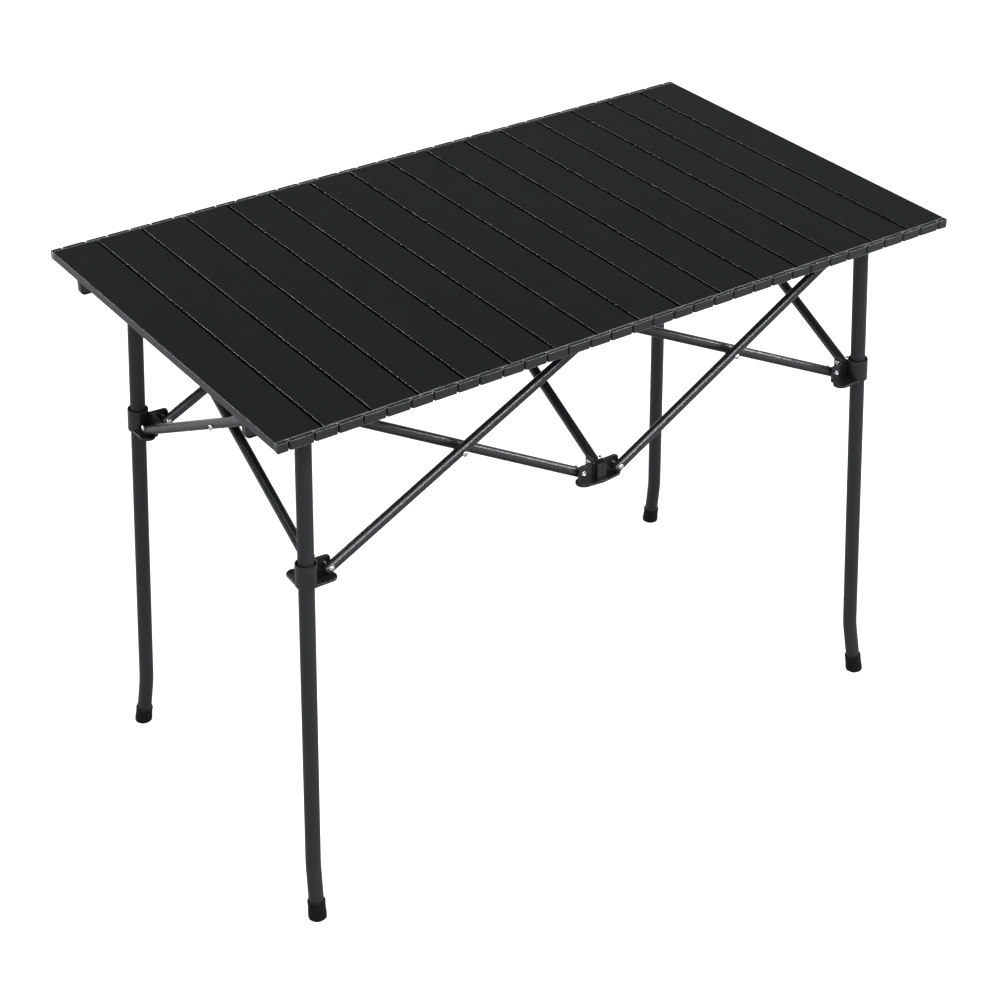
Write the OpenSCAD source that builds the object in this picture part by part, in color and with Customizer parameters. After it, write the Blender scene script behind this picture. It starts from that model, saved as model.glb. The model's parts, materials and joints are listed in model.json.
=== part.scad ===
// Folding picnic table: a slatted roll-up top that rests on a scissor frame with four legs and their sliding brackets.
// Millimetres. Origin on the floor under the middle of the top, X along the top, Y across it, Z up.

/* [Top] */
// Length of the top
top_l = 950; // [900:10:1000]
// Width of the top
top_w = 550; // [520:10:580]
// Height of the top face above the floor
height = 705; // [690:5:720]
// Thickness of the slats
slat_t = 11; // [9:0.5:13]
// Number of slats
slat_count = 16; // [16:1:16]
// Gap between two slats
slat_gap = 0.6; // [0.6:0.1:1]
// Wall of the slat extrusion
slat_wall = 1.2; // [1:0.1:1.6]

/* [Legs] */
// Diameter of a leg tube
leg_d = 19; // [18:0.5:20]
// Wall of a leg tube
leg_wall = 1.2; // [1:0.1:1.5]
// Distance of the leg's bend from the middle, along the top
bend_x = 435.5; // [432:0.5:440]
// Distance of the leg's bend from the middle, across the top
bend_y = 222; // [220:0.5:225]
// Height of the leg's bend
bend_z = 74; // [65:1:85]
// Distance of the foot from the middle, along the top
foot_x = 440.7; // [438:0.1:443]
// Distance of the foot from the middle, across the top
foot_y = 234.7; // [232:0.1:237]
// Lean of a leg along the top
lean_x = 3; // [2.5:0.1:3.2]
// Lean of a leg across the top
lean_y = 2; // [1.6:0.1:2.2]

/* [Scissors] */
// Length of a brace's arm, from its crossing pin to an end pin
arm = 202; // [201:0.5:203]
// Angle of the arms when the table stands open
open_angle = 28; // [27:0.25:29]
// Diameter of a brace tube
brace_d = 12.5; // [12:0.1:12.8]
// Wall of a brace tube
brace_wall = 1.2; // [1:0.1:1.5]
// Height of a slider's pin
slider_pin_z = 482; // [478:1:486]
// Distance of a hub's pins from its middle
hub_reach = 23; // [22:0.5:24]
// Distance of the ears behind the leg's centre line
ear_inset = 9.5; // [9:0.1:10]
// Thickness of an ear
ear_t = 3.6; // [3:0.1:4]
// Diameter of a rivet
rivet_d = 4; // [3.6:0.1:4.2]

/* [Hidden] */
$fn = 48;
EPS = 0.01;
// Gap between two pieces of one node that are pressed together
SEAT = 0.05;

FRAME_BLACK = "#2f3031";
SLAT_BLACK = "#27292b";
CAP_GREY = "#424345";
PLASTIC_BLACK = "#161718";
RUBBER_BLACK = "#1c1c1c";
STEEL = "#c9ccce";

// A corner is its name and the side it is on, along X and along Y.
CORNERS = [["front_left", -1, -1], ["front_right", 1, -1], ["rear_left", -1, 1], ["rear_right", 1, 1]];
SIDES = [["front", -1], ["rear", 1]];
ENDS = [["left", -1], ["right", 1]];

function two_digits(i) = str(i < 10 ? "0" : "", i);
function slat_name(i) = str("slat_", two_digits(i));

// Slat ends: a cap with a boss on each slat, and a hinge link across each seam
pitch = top_l / slat_count;
cap_t = 3;
end_depth = 9;
end_slot = 1.3;
link_w = 27.4;
boss_w = pitch - link_w - 2 * end_slot;
link_play = 0.4;
end_round = 1.6;
slat_z = height - slat_t;

// Lean of a leg seen in the side's plane and in the end's plane
slope_x = tan(lean_x);
slope_y = tan(lean_y);
side_lean = atan(slope_x * cos(lean_y));
end_lean = atan(slope_y * cos(lean_x));
leg_cos = 1 / sqrt(1 + slope_x * slope_x + slope_y * slope_y);
floor_x = bend_x + bend_z * slope_x;
floor_y = bend_y + bend_z * slope_y;

// Pins in the side's plane, as [distance along the top, distance up the plane]
crossing_up = slider_pin_z / cos(lean_y) + arm * sin(open_angle - side_lean);
side_crossing = [hub_reach + arm * cos(open_angle), crossing_up];
side_head = side_crossing + arm * [cos(open_angle + side_lean), sin(open_angle + side_lean)];
side_slider = side_crossing + arm * [cos(open_angle - side_lean), -sin(open_angle - side_lean)];
side_upper = side_crossing + arm * [-cos(open_angle), sin(open_angle)];
side_lower = side_crossing + arm * [-cos(open_angle), -sin(open_angle)];

// Stations of the brackets on the leg's centre line, as heights above the floor
side_reach = (floor_x - side_slider[1] * tan(side_lean) - side_slider[0]) * cos(side_lean);
rise = 2 * arm * sin(open_angle);
slider_z = (side_slider[1] + side_reach * sin(side_lean)) * cos(lean_y);
head_z = slider_z + rise * leg_cos;
end_reach = (floor_y - slider_z / cos(lean_x) * tan(end_lean) - arm * cos(open_angle - end_lean)) / cos(end_lean);

// Pins in the end's plane, as [distance across the top, distance up the plane]
end_slider = [arm * cos(open_angle - end_lean), slider_z / cos(lean_x) - end_reach * sin(end_lean)];
end_crossing = [0, end_slider[1] + arm * sin(open_angle - end_lean)];
end_head = end_crossing + arm * [cos(open_angle + end_lean), sin(open_angle + end_lean)];

// Pins in the middle's plane, as [distance across the top, height]
lower_hub_y = floor_y - side_lower[1] * sin(lean_y);
lower_hub_z = side_lower[1] * cos(lean_y);
hub_reach_y = (lower_hub_y - arm * cos(open_angle - lean_y)) / cos(lean_y);
middle_lower = [arm * cos(open_angle - lean_y), lower_hub_z - hub_reach_y * sin(lean_y)];
middle_crossing = [0, middle_lower[1] + arm * sin(open_angle - lean_y)];
middle_upper = middle_crossing + arm * [cos(open_angle + lean_y), sin(open_angle + lean_y)];

// Braces: straight tubes whose end pins sit above the centre line and whose crossing pin sits below it
brace_r = brace_d / 2;
brace_play = 0.9;
brace_out = ear_t / 2 + brace_play + brace_r;
brace_end = 4;
plug_t = 2.8;
plug_round = 2.4;
plug_spigot = 0.9;
pin_play = 0.08;

// Rivets
rivet_head_r = 3.5;
rivet_head_t = 1.7;
rivet_tail_t = 1.3;
rivet_play = 0.65;

// Brackets
collar_r = 13;
collar_play = 0.4;
collar_top = 14;
ear_root = 8;
ear_end = 6.6;
ear_up = 10;
ear_down = 12;
ear_round = 5;
wing_t = 3.2;
wing_r = 10.5;
wing_root_r = 12.2;
wing_back = 1.5;
head_gap = 0.9;
head_down = 14;
tube_top_z = slat_z - 6;

// Foot
foot_r = 11.6;
foot_h = 24;
foot_floor = 4;
foot_round = 2.5;

// Latches
latch_plate_t = 3;
latch_w = 30;
latch_from_end = 6;
nose_w = 8.4;
nose_drop = 17.4;
nose_from_end = 0.5;
nose_l = 16;
nose_round = 4;
latch_wall_t = 3;
latch_wall_drop = 9;
latch_clear = 1.1;

// ---- placing ----

// Moves a part of the rear right corner to the corner c.
module at_corner(c) mirror([c[1] < 0 ? 1 : 0, 0, 0]) mirror([0, c[2] < 0 ? 1 : 0, 0]) children();

// The side's plane: X along the top, Z up the plane, Y outwards.
module side_plane() translate([0, floor_y, 0]) rotate([lean_y, 0, 0]) children();

// The end's plane: Y across the top, Z up the plane, X outwards.
module end_plane() translate([floor_x, 0, 0]) rotate([0, -lean_x, 0]) children();

// Frames on the leg's centre line at height z, with Z along the leg.
module leg_in_side(z)
    side_plane()
        translate([floor_x - z / cos(lean_y) * tan(side_lean), 0, z / cos(lean_y)])
            rotate([0, -side_lean, 0]) children();

module leg_in_end(z)
    end_plane()
        translate([0, floor_y - z / cos(lean_x) * tan(end_lean), z / cos(lean_x)])
            rotate([end_lean, 0, 0]) children();

// ---- shapes ----

module rounded_box_profile(w, h, r) {
    translate([r, 0]) square([w - 2 * r, h]);
    translate([0, r]) square([w, h - 2 * r]);
    for (x = [r, w - r], y = [r, h - r]) translate([x, y]) circle(r);
}

// An ear along +X: a plate in the XZ plane with its pin hole at x = reach.
module ear(reach, up, down, root) {
    tip = reach + ear_end;
    rotate([90, 0, 0])
        linear_extrude(ear_t, center = true)
            difference() {
                union() {
                    translate([root, -down]) square([tip - root, down + up - ear_round]);
                    translate([root, -down]) square([tip - root - ear_round, down + up]);
                    translate([tip - ear_round, up - ear_round]) circle(ear_round);
                }
                translate([reach, 0]) circle(d = rivet_d + 2 * SEAT);
            }
}

// A flat arm along +X that tapers from radius r0 at the origin to radius r1 at x = reach.
module tapered_arm(r0, r1, reach, t) {
    side = acos((r0 - r1) / reach);
    linear_extrude(t) {
        circle(r0);
        translate([reach, 0]) circle(r1);
        polygon([
            r0 * [cos(side), sin(side)], r0 * [cos(side), -sin(side)],
            [reach, 0] + r1 * [cos(side), -sin(side)], [reach, 0] + r1 * [cos(side), sin(side)]
        ]);
    }
}

module dome(r, h) {
    ball = (r * r + h * h) / (2 * h);
    rotate_extrude()
        intersection() {
            translate([0, h - ball]) circle(ball, $fn = 96);
            square([r, h]);
        }
}

// A rivet along +Z through an ear at z = 0 and a brace above it.
module ear_rivet() color(STEEL) {
    top = brace_out + brace_r + rivet_play;
    bottom = ear_t / 2 + SEAT;
    translate([0, 0, -bottom - EPS]) cylinder(h = top + bottom + 2 * EPS, d = rivet_d);
    translate([0, 0, -bottom]) mirror([0, 0, 1]) dome(rivet_head_r, rivet_tail_t);
    translate([0, 0, top]) dome(rivet_head_r, rivet_head_t);
}

// A rivet along Z through both braces of a pair, with the spacer that keeps them apart.
module crossing_rivet() {
    half = brace_out + brace_r + rivet_play;
    spacer = 2 * (brace_out - brace_r) - 0.8;
    color(STEEL) {
        cylinder(h = 2 * half, d = rivet_d, center = true);
        for (m = [0, 1]) mirror([0, 0, m]) translate([0, 0, half]) dome(rivet_head_r, rivet_head_t);
    }
    color(PLASTIC_BLACK)
        difference() {
            cylinder(h = spacer, d = 9, center = true);
            cylinder(h = spacer + 1, d = rivet_d + 2 * SEAT, center = true);
        }
}

// A brace between two end pins a and b of a plane, lying in the XZ plane through its tube's centre.
module brace(a, b) {
    span = norm(b - a);
    drop = sqrt(arm * arm - span * span / 4) / 2;
    half = span / 2 + brace_end;
    middle = (a + b) / 2;
    translate([middle[0], 0, middle[1]])
        rotate([0, -atan2(b[1] - a[1], b[0] - a[0]), 0])
            translate([0, 0, -drop]) {
                color(FRAME_BLACK)
                    difference() {
                        rotate([0, 90, 0]) cylinder(h = 2 * half, r = brace_r, center = true);
                        rotate([0, 90, 0]) cylinder(h = 2 * half + 1, r = brace_r - brace_wall, center = true);
                        for (p = [[-span / 2, drop], [0, -drop], [span / 2, drop]])
                            translate([p[0], 0, p[1]])
                                rotate([90, 0, 0])
                                    cylinder(h = brace_d + 2, d = rivet_d + 2 * pin_play, center = true);
                    }
                for (turn = [0, 180])
                    rotate([0, 0, turn]) translate([half + SEAT, 0, 0]) rotate([0, 90, 0]) brace_plug();
            }
}

module brace_plug() color(PLASTIC_BLACK) {
    rotate_extrude() {
        square([brace_r, plug_t - plug_round]);
        square([brace_r - plug_round, plug_t]);
        intersection() {
            translate([brace_r - plug_round, plug_t - plug_round]) circle(plug_round);
            square([brace_r, plug_t]);
        }
    }
    translate([0, 0, -plug_spigot]) cylinder(h = plug_spigot + EPS, r = brace_r - brace_wall - SEAT);
}

// ---- legs ----

// The lower, bent stretch of a leg, seen from the leg's own frame at the bend
foot_down = [foot_x - bend_x, foot_y - bend_y, -bend_z];
bend_across = foot_down * [cos(side_lean), -sin(side_lean) * sin(lean_y), sin(side_lean) * cos(lean_y)];
bend_out = foot_down * [0, cos(lean_y), sin(lean_y)];
bend_turn = atan2(bend_out, bend_across);
bend_angle = asin(norm([bend_across, bend_out]) / norm(foot_down));
foot_length = norm(foot_down);

// The frame whose Z points up the bent stretch, with its origin on the floor.
module at_foot()
    leg_in_side(bend_z)
        rotate([0, 0, bend_turn]) rotate([0, -bend_angle, 0]) translate([0, 0, -foot_length]) children();

// The bent bar of radius r, longer than the leg by extra at both ends.
module leg_bar(r, extra) {
    leg_in_side(bend_z) {
        cylinder(h = (tube_top_z - bend_z) / leg_cos + extra, r = r);
        sphere(r);
    }
    at_foot() translate([0, 0, foot_floor - extra]) cylinder(h = foot_length - foot_floor + extra, r = r);
}

module leg_tube(c) color(FRAME_BLACK)
    at_corner(c)
        difference() {
            leg_bar(leg_d / 2, 0);
            leg_bar(leg_d / 2 - leg_wall, 1);
        }

module foot(c) color(RUBBER_BLACK)
    at_corner(c)
        difference() {
            at_foot()
                rotate_extrude() {
                    translate([0, -foot_round]) square([foot_r - foot_round, foot_h + foot_round]);
                    translate([0, 0.4]) square([foot_r, foot_h - foot_round]);
                    translate([foot_r - foot_round, foot_h - foot_round + 0.4]) circle(foot_round - 0.4);
                    translate([foot_r - foot_round, 0.4]) circle(foot_round);
                }
            at_foot() translate([0, 0, foot_floor]) cylinder(h = foot_h, d = leg_d);
            translate([foot_x - 50, foot_y - 50, -100]) cube([100, 100, 100]);
        }

module leg_head(c) at_corner(c) {
    color(PLASTIC_BLACK)
        difference() {
            union() {
                leg_in_side(head_z) {
                    translate([0, 0, -head_down]) cylinder(h = 45, r = collar_r);
                    translate([0, -ear_inset, 0]) mirror([1, 0, 0]) ear(side_reach, ear_up, ear_down, ear_root);
                }
                leg_in_end(head_z)
                    translate([-ear_inset, 0, 0]) rotate([0, 0, -90]) ear(end_reach, ear_up, ear_down, ear_root);
            }
            leg_in_side(bend_z) cylinder(h = (tube_top_z - bend_z) / leg_cos, d = leg_d);
            translate([0, 0, slat_z - head_gap]) cube([top_l, top_w, 50]);
        }
    ear_rivets(head_z, !same_sign(c), same_sign(c));
}

// ---- sliders ----

// On two opposite corners the slider's side brace lies outside its ear, on the other two inside.
function same_sign(c) = c[1] == c[2];

// The two ear rivets of a bracket at height z, each towards the brace that it holds.
module ear_rivets(z, side_outer, end_outer) {
    leg_in_side(z)
        translate([-side_reach, -ear_inset, 0]) rotate([side_outer ? -90 : 90, 0, 0]) ear_rivet();
    leg_in_end(z)
        translate([-ear_inset, -end_reach, 0]) rotate([0, end_outer ? 90 : -90, 0]) ear_rivet();
}

module slider(c) color(PLASTIC_BLACK)
    at_corner(c)
        difference() {
            union() {
                leg_in_side(slider_z) {
                    translate([0, 0, -ear_down - wing_t])
                        cylinder(h = collar_top + ear_down + wing_t, r = collar_r);
                    translate([0, -ear_inset, 0]) mirror([1, 0, 0]) ear(side_reach, ear_up, ear_down, ear_root);
                    translate([0, 0, -ear_down - wing_t])
                        rotate([0, 0, 180]) tapered_arm(wing_root_r, wing_r, side_reach - wing_back, wing_t);
                }
                leg_in_end(slider_z) {
                    translate([-ear_inset, 0, 0]) rotate([0, 0, -90]) ear(end_reach, ear_up, ear_down, ear_root);
                    translate([0, 0, -ear_down - wing_t])
                        rotate([0, 0, -90]) tapered_arm(wing_root_r, wing_r, end_reach - wing_back, wing_t);
                }
            }
            leg_in_side(slider_z) cylinder(h = 100, r = leg_d / 2 + collar_play, center = true);
        }

module slider_rivets(c) at_corner(c) ear_rivets(slider_z, same_sign(c), !same_sign(c));

// ---- hubs ----

hub_w = 13;
hub_front = 8;
hub_back = 4.5;
hub_up = 9;
hub_slot = [4.5, 2.2, 13];

// A hub at the point up the side's plane, in the frame of that plane: three ears on a post.
module hub_body(up) {
    side_plane()
        translate([0, 0, up]) {
            difference() {
                translate([-hub_w / 2, -ear_inset - hub_back, -ear_down])
                    cube([hub_w, hub_back + hub_front, ear_down + hub_up]);
                translate([-hub_slot[0] / 2, -ear_inset + hub_front - hub_slot[1], -ear_down + 4])
                    cube([hub_slot[0], hub_slot[1] + 1, hub_slot[2]]);
            }
            for (m = [0, 1])
                mirror([m, 0, 0])
                    translate([0, -ear_inset, 0]) ear(hub_reach, ear_up, ear_down, hub_w / 2 - 1);
            rotate([0, 0, -90]) ear(hub_reach_y, ear_up, ear_down, ear_inset + 2);
        }
}

// Rivets of a hub: on one side of the middle the side brace lies outside the ear, on the other inside.
module hub_rivets(up, side, lower) {
    outer_right = (side < 0) == lower;
    side_plane()
        translate([0, 0, up]) {
            for (x = [-1, 1])
                translate([x * hub_reach, -ear_inset, 0])
                    rotate([(x > 0) == outer_right ? -90 : 90, 0, 0]) ear_rivet();
            translate([0, -hub_reach_y, 0]) rotate([0, outer_right ? 90 : -90, 0]) ear_rivet();
        }
}

module upper_hub(s) color(PLASTIC_BLACK) at_corner(["", 1, s[1]]) hub_body(side_upper[1]);

module lower_hub(s) color(PLASTIC_BLACK)
    at_corner(["", 1, s[1]]) {
        hub_body(side_lower[1]);
        side_plane()
            translate([0, -ear_inset, side_lower[1] - ear_down - wing_t]) {
                for (turn = [0, 180])
                    rotate([0, 0, turn]) tapered_arm(collar_r, wing_r, hub_reach - wing_back, wing_t);
                rotate([0, 0, -90])
                    tapered_arm(collar_r, wing_r, hub_reach_y - ear_inset - wing_back, wing_t);
            }
    }

module upper_hub_rivets(s) at_corner(["", 1, s[1]]) hub_rivets(side_upper[1], s[1], false);

module lower_hub_rivets(s) at_corner(["", 1, s[1]]) hub_rivets(side_lower[1], s[1], true);

// ---- braces ----

// From the slider to the upper hub of its side.
module brace_slider(c) {
    outer = same_sign(c);
    at_corner(c) side_plane() translate([0, -ear_inset + (outer ? brace_out : -brace_out), 0])
        brace(side_upper, side_slider);
}

// From the leg's head to the lower hub of its side, with the pair's crossing rivet.
module brace_head(c) {
    outer = !same_sign(c);
    at_corner(c) side_plane() {
        translate([0, -ear_inset + (outer ? brace_out : -brace_out), 0]) brace(side_lower, side_head);
        translate([side_crossing[0], -ear_inset, side_crossing[1]]) rotate([90, 0, 0]) crossing_rivet();
    }
}

// Across an end: from the head on side s down to the slider on the other side.
module brace_end_from(e, s) {
    outer = e[1] == s[1];
    at_corner(["", e[1], s[1]]) end_plane() {
        translate([-ear_inset + (outer ? brace_out : -brace_out), 0, 0])
            rotate([0, 0, 90]) brace([-end_slider[0], end_slider[1]], end_head);
        if (outer)
            translate([-ear_inset, 0, end_crossing[1]]) rotate([0, 90, 0]) crossing_rivet();
    }
}

// Across the middle: from the upper hub of side s down to the lower hub of the other side.
module brace_middle_from(s) {
    translate([s[1] * brace_out, 0, 0]) at_corner(["", 1, s[1]])
        rotate([0, 0, 90]) brace([-middle_lower[0], middle_lower[1]], middle_upper);
    if (s[1] < 0)
        translate([0, 0, middle_crossing[1]]) rotate([0, 90, 0]) crossing_rivet();
}

// ---- top ----

// The end of a slat: a cap, and its boss flush with the end of the top.
module slat_cap() {
    inner = top_w / 2 - end_depth;
    translate([slat_gap / 2, inner - cap_t, slat_z]) cube([pitch - slat_gap, cap_t, slat_t]);
    translate([(pitch - boss_w) / 2, inner - EPS, slat_z])
        linear_extrude(slat_t)
            difference() {
                square([boss_w, end_depth + EPS]);
                for (m = [0, 1])
                    translate([m * boss_w, 0]) mirror([m, 0])
                        translate([-EPS, end_depth - end_round + EPS])
                            difference() {
                                square([end_round + EPS, end_round + EPS]);
                                translate([end_round + EPS, 0]) circle(end_round);
                            }
            }
}

// The hinge link across the seam on the slat's right, fixed to this slat's cap.
module slat_link() {
    inner = top_w / 2 - end_depth;
    translate([pitch - link_w / 2, inner + link_play, slat_z])
        linear_extrude(slat_t)
            difference() {
                square([link_w, end_depth - link_play]);
                for (m = [0, 1])
                    translate([m * link_w, 0]) mirror([m, 0])
                        translate([-EPS, end_depth - link_play - end_round])
                            difference() {
                                square([end_round + EPS, end_round + EPS]);
                                translate([end_round + EPS, 0]) circle(end_round);
                            }
            }
    translate([pitch - link_w / 2 + end_round, inner - EPS, slat_z + 1])
        cube([link_w / 2 - 2 * end_round, link_play + 2 * EPS, slat_t - 2]);
}

// The corner block beyond the slat's boss, on the two outermost slats.
module slat_corner() {
    w = pitch / 2 - boss_w / 2 - end_slot;
    translate([0, top_w / 2 - end_depth - EPS, slat_z]) cube([w, end_depth + EPS, slat_t]);
}

module slat(i) {
    first = i == 1;
    last = i == slat_count;
    length = top_w - 2 * (end_depth + cap_t + SEAT);
    translate([(i - 1) * pitch - top_l / 2, 0, 0]) {
        color(SLAT_BLACK)
            translate([slat_gap / 2, length / 2, slat_z])
                rotate([90, 0, 0])
                    linear_extrude(length)
                        difference() {
                            rounded_box_profile(pitch - slat_gap, slat_t, 1);
                            slat_chambers();
                        }
        for (side = [0, 1])
            mirror([0, side, 0]) {
                color(CAP_GREY) {
                    slat_cap();
                    if (first) slat_corner();
                    if (last) translate([pitch, 0, 0]) mirror([1, 0, 0]) slat_corner();
                }
                if (!last) color(CAP_GREY) slat_link();
            }
    }
}

// The hollow chambers of the extrusion, with a rib between them.
module slat_chambers() {
    ribs = 2;
    w = (pitch - slat_gap - (ribs + 2) * slat_wall) / (ribs + 1);
    for (k = [0 : ribs])
        translate([slat_wall + k * (w + slat_wall), slat_wall]) square([w, slat_t - 2 * slat_wall]);
}

// A latch under the outermost slat, with a hook at the end and a wall that stops the leg's head.
module latches(e) color(PLASTIC_BLACK)
    for (side = [-1, 1])
        at_corner(["", e[1], side]) {
            head_x = floor_x - (slat_z - head_gap) * slope_x;
            head_y = floor_y - (slat_z - head_gap) * slope_y;
            wall_x = head_x + collar_r + latch_clear;
            plate_l = top_l / 2 - latch_from_end - wall_x;
            translate([wall_x, head_y - latch_w / 2, slat_z - latch_plate_t])
                cube([plate_l, latch_w, latch_plate_t]);
            translate([wall_x, head_y - latch_w / 2, slat_z - latch_wall_drop])
                cube([latch_wall_t, latch_w, latch_wall_drop]);
            translate([top_l / 2 - nose_from_end, head_y + nose_w / 2, slat_z])
                rotate([90, 0, 0])
                    linear_extrude(nose_w) {
                        translate([-nose_l, nose_round - nose_drop]) square([nose_l, nose_drop - nose_round]);
                        translate([-nose_l, -nose_drop]) square([nose_l - nose_round, nose_drop]);
                        translate([-nose_round, nose_round - nose_drop]) circle(nose_round);
                    }
        }

// ---- assembly ----

for (c = CORNERS) {
    leg_tube(c);
    foot(c);
    leg_head(c);
    slider(c);
    slider_rivets(c);
    brace_slider(c);
    brace_head(c);
}
for (s = SIDES) {
    lower_hub(s);
    lower_hub_rivets(s);
    upper_hub(s);
    upper_hub_rivets(s);
    brace_middle_from(s);
}
for (e = ENDS) {
    for (s = SIDES) brace_end_from(e, s);
    latches(e);
}
for (i = [1 : slat_count]) slat(i);
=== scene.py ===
"""Looks of a folding picnic table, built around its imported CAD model."""
import json
import math

import bpy
from mathutils import Matrix, Vector


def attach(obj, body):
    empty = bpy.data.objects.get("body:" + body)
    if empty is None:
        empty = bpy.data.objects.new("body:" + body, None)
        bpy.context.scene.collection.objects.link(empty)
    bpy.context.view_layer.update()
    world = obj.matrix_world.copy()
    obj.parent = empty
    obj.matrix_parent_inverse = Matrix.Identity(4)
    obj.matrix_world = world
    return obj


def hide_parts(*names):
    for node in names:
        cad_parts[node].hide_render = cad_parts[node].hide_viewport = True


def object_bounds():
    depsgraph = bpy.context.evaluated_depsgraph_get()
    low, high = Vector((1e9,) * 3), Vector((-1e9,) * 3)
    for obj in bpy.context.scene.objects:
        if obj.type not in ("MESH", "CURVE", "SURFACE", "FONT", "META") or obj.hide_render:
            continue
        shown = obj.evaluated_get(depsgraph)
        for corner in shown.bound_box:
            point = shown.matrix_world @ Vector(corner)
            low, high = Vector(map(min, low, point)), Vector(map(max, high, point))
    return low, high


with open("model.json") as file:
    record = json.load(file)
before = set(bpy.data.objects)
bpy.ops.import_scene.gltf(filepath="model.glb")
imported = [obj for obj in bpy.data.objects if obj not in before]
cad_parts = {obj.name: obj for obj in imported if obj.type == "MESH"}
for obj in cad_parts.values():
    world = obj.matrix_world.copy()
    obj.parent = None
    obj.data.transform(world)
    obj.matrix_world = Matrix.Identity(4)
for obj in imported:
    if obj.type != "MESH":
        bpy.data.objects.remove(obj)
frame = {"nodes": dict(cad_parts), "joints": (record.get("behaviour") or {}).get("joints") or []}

CAD_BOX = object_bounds()
MM = 0.001

# ---- sizes, in millimetres ----

# the top
TOP_L = (CAD_BOX[1][0] - CAD_BOX[0][0]) / MM
TOP_W = (CAD_BOX[1][1] - CAD_BOX[0][1]) / MM
HEIGHT = CAD_BOX[1][2] / MM
SLATS = sum(name.startswith("slat_") for name in frame["nodes"])
PITCH = TOP_L / SLATS
SLAT_T = 11
SLAT_Z = HEIGHT - SLAT_T
SLAT_GAP = 0.6
SLAT_LOWER_R = 0.8
EDGE_R = 0.4
LIP_W = 3.4
LIP_DEPTH = 2.4
GROOVE = ((-1.4, 0), (-0.9, 0.6), (0.9, 0.6), (1.4, 0))
END_DEPTH = 4.5
CAP_T = 1.5
CAP_PLAY = 0.05
BLOCK_R = 2.2
BLOCK_EDGE_R = 0.2
BLOCK_LAP = 1.2
CORNER_R = 0.9
SLOT_W = 1.3
LINK_W = 27.4
LINK_PLAY = 0.4
LINK_INSET = 1.6
LINK_LAP = 0.5
BOSS_W = PITCH - LINK_W - 2 * SLOT_W
TOP_GAP = 0.9

# the legs and feet
LEG_R = 9.5
LEAN_X = math.radians(3)
LEAN_Y = math.radians(2)
BEND = Vector((435.5, 222, 74))
FOOT = Vector((440.7, 234.7, 0))
BEND_R = 150
BEND_STEPS = 10
LEG_END_GAP = 6
FOOT_R = 11.6
FOOT_H = 24
FOOT_FLOOR = 4
FOOT_SOLE = ((0, -3), (9, -3), (10.6, -2.2), (11.4, -0.8), (FOOT_R, 1), (FOOT_R, 4))
FOOT_CUFF = ((11.2, 12), (11, 19.4), (11.3, 20), (11.3, FOOT_H - 0.9), (11, FOOT_H - 0.2))

# the braces, the ears that hold them and the rivets
ARM = 202
BRACE_R = 6.25
BRACE_WALL = 1.2
BRACE_END = 4
BRACE_EDGE = 0.35
BRACE_STRETCHES = 6
PLUG_T = 2.8
EAR_INSET = 9.5
EAR_T = 3.6
EAR_UP = 10
EAR_DOWN = 12
EAR_END = 6.6
EAR_ROOT = 8
EAR_PLAY = 0.9
EAR_CORNERS = (0, 0.8, 5, 0)
BRACE_OUT = EAR_T / 2 + EAR_PLAY + BRACE_R
RIVET_R = 2
RIVET_HEAD_R = 3.5
RIVET_PLAY = 0.65
RIVET_BITE = 0.2
RIM_PLAY = 0.05
DOME_H = 1.7
ROLL_H = 1.3
SPACER_R = 4.5
SPACER_PLAY = 0.4

# the brackets and hubs
COLLAR_R = 13
COLLAR_BORE = LEG_R + 0.4
COLLAR_TOP = 14
COLLAR_GROOVES = (COLLAR_TOP - 7, COLLAR_TOP - 4.4)
HEAD_DOWN = 14
HEAD_ROOF = 4
WING_T = 3.2
WING_R = 10.5
WING_ROOT = 12.2
WING_SHORT = 1.5
WING_FILLET = 4
WING_FILLET_OUT = 0.3
WING_STEPS = 12
WING_RIM = ((1.3, 0), (1.6, -0.2), (1.8, -0.8))
MOULDED_R = 0.6
HUB_W = 13
HUB_FRONT = 8
HUB_BACK = 4.5
HUB_UP = 9
HUB_SLOT = 1.1
HUB_SLOT_DEPTH = 2.2
HUB_BRIDGE = 1.6
HUB_BRIDGES = ((-EAR_DOWN - 0.3, -6), (-3.8, 0.6), (2.8, HUB_UP - 0.6))
HUB_BRIDGE_IN = 2.6
HUB_BRIDGE_OUT = 0.25

# the latches
LATCH_T = 3
LATCH_W = 30
LATCH_END = 6
LATCH_CLEAR = 1.1
LATCH_LAP = 0.5
LATCH_WALL_T = 3
LATCH_WALL_DROP = 9
HOOK_L = 16
HOOK_W = 8.4
HOOK_DROP = 17.4
HOOK_INSET = 0.5
HOOK_CORNERS = (2, 5.5, 0, 0)
HOOK_RIM = ((1.1, 0), (1.3, -0.3), (1.5, -1.4))

# flat sides round each kind of turned part
COLLAR_SIDES = 56
LEG_SIDES = 48
BRACE_SIDES = 44
PLUG_SIDES = 40
SPACER_SIDES = 32
HEAD_SIDES = 28
SHANK_SIDES = 20

SIGN = {"left": -1, "right": 1, "front": -1, "rear": 1}
CORNERS = [(side, end) for side in ("front", "rear") for end in ("left", "right")]

# ---- places ----


def shift(x, y, z):
    return Matrix.Translation((x, y, z))


def turn(axis, degrees):
    return Matrix.Rotation(math.radians(degrees), 4, axis)


def flip(x=1, y=1, z=1):
    return Matrix.Diagonal((x, y, z, 1))


def corner(side, end):
    """Takes the rear right corner, where every part is drawn, to another corner."""
    return flip(SIGN[end], SIGN[side])


PINS = {joint["name"]: joint["pos_m"] for joint in frame["joints"] if "pos_m" in joint}


def pin(joint):
    """Where a hinge is, brought to the rear right corner."""
    return Vector([abs(value) / MM for value in PINS[joint]])


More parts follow.
